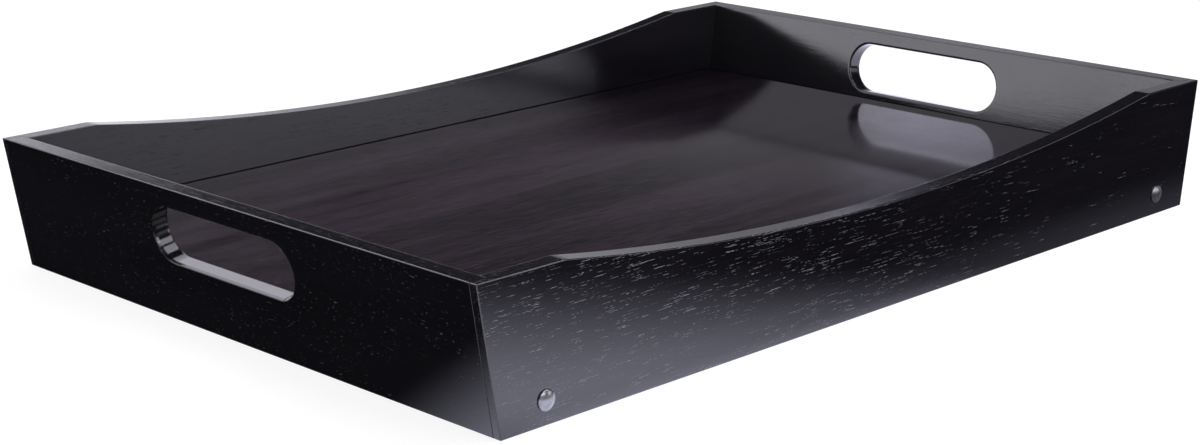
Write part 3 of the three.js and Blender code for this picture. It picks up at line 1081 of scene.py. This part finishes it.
# Each lamp: its place, the point that it faces, its width and height, and its power.
LAMPS = {
    "softbox_back": ((-0.2, 1.4, 1.0), (-0.2, 1.4, 0.0), (2.8, 1.8), 34.0),
    "softbox_top": ((0.2, -0.28, 1.0), (0.2, -0.28, 0.0), (0.9, 0.55), 5.3),
    "softbox_left": ((-0.2, -1.25, 0.62), (-0.2, -0.17, 0.05), (0.8, 0.5), 4.6),
    "softbox_front": ((0.6175, -0.75, 0.234), (0.6175, 0.0, 0.234), (0.735, 0.228), 1.38),
    "softbox_side": ((0.275, -0.75, 0.75), (0.275, 0.0, 0.75), (0.85, 0.5), 4.6),
}
ROOM_TINT = (0.97, 0.96, 1.05, 1.0)
CARD_TINT = (0.94, 0.92, 1.18, 1.0)
WHITE = (1.0, 1.0, 1.0, 1.0)
# Each step of the room: an axis of the direction looked in, its start and end, and the values there.
ROOM = {
    "horizon": ("Z", 0.0, 0.16, 1.6, 0.0),
    "left": ("X", 0.35, 0.7, 1.0, 0.17),
    "behind": ("Y", -0.3, 0.1, 0.2, 1.0),
    "dip left": ("X", 0.54, 0.6, 0.0, 1.0),
    "dip right": ("X", 0.65, 0.71, 1.0, 0.0),
    "card left": ("X", 0.74, 0.764, 0.0, 1.0),
    "card right": ("X", 0.78, 0.82, 1.0, 0.0),
    "card foot": ("Z", 0.21, 0.228, 0.0, 1.0),
    "wall": ("X", 0.56, 0.68, 0.035, 0.07),
    "wall top": ("Z", 0.262, 0.3, 1.0, 0.2),
    "front": ("Y", -0.6, -0.4, 0.8, 0.0),
    "front left": ("X", 0.4, 0.6, 0.0, 1.0),
    "front top": ("Z", 0.14, 0.22, 1.0, 0.0),
}
BAND_EDGE = (0.222, 0.243, 1.9, 0.0)  # the band's upper edge, as a step along Z
BAND_DIP = 0.025  # how far that edge dips beside the card
CARD_GLOW = 0.76


def add_lamp(name, place, target, size, power):
    lamp = bpy.data.lights.new(name, "AREA")
    lamp.shape = "RECTANGLE"
    lamp.size, lamp.size_y = size
    lamp.energy = power
    lamp.color = LAMP_TINT
    made = bpy.data.objects.new(name, lamp)
    bpy.context.scene.collection.objects.link(made)
    made.location = place
    made.visible_camera = False
    made.rotation_euler = (Vector(target) - Vector(place)).to_track_quat("-Z", "Y").to_euler()


def make_world():
    """Plain white to the camera. To the rest, horizon and band times (left + card) times behind, plus the
    wall and a low card in front. Each is a product of smooth steps along the axes of the direction."""
    world = bpy.data.worlds.new("studio")
    bpy.context.scene.world = world
    world.use_nodes = True
    wire = Wiring(world.node_tree)
    direction = wire.split(wire.node("ShaderNodeTexCoord").outputs["Generated"])
    step = {name: wire.ramp(direction[axis], *values) for name, (axis, *values) in ROOM.items()}
    dip = wire.product(step["dip left"], step["dip right"], BAND_DIP)
    band = wire.ramp(wire.math("ADD", direction["Z"], dip), *BAND_EDGE)
    card = wire.product(step["card left"], step["card right"], step["card foot"])
    side = wire.product(wire.math("MULTIPLY_ADD", card, CARD_GLOW, step["left"]), step["behind"])
    wall = wire.product(step["wall"], step["wall top"])
    front = wire.product(step["front"], step["front left"], step["front top"])
    low = wire.math("ADD", step["horizon"], band)
    strength = wire.math("MULTIPLY_ADD", low, side, wire.math("ADD", wall, front))
    tint = wire.blend(card, ROOM_TINT, CARD_TINT)
    room = wire.fill(world.node_tree.nodes["Background"], Color=tint, Strength=strength)
    backdrop = wire.shader("ShaderNodeBackground", Color=WHITE)
    is_camera = wire.node("ShaderNodeLightPath").outputs["Is Camera Ray"]
    wire.put(world.node_tree.nodes["World Output"].inputs["Surface"], wire.mix(is_camera, room, backdrop))


make_world()
for name, setting in LAMPS.items():
    add_lamp(name, *setting)
scene = bpy.context.scene
scene.view_settings.view_transform = "Standard"
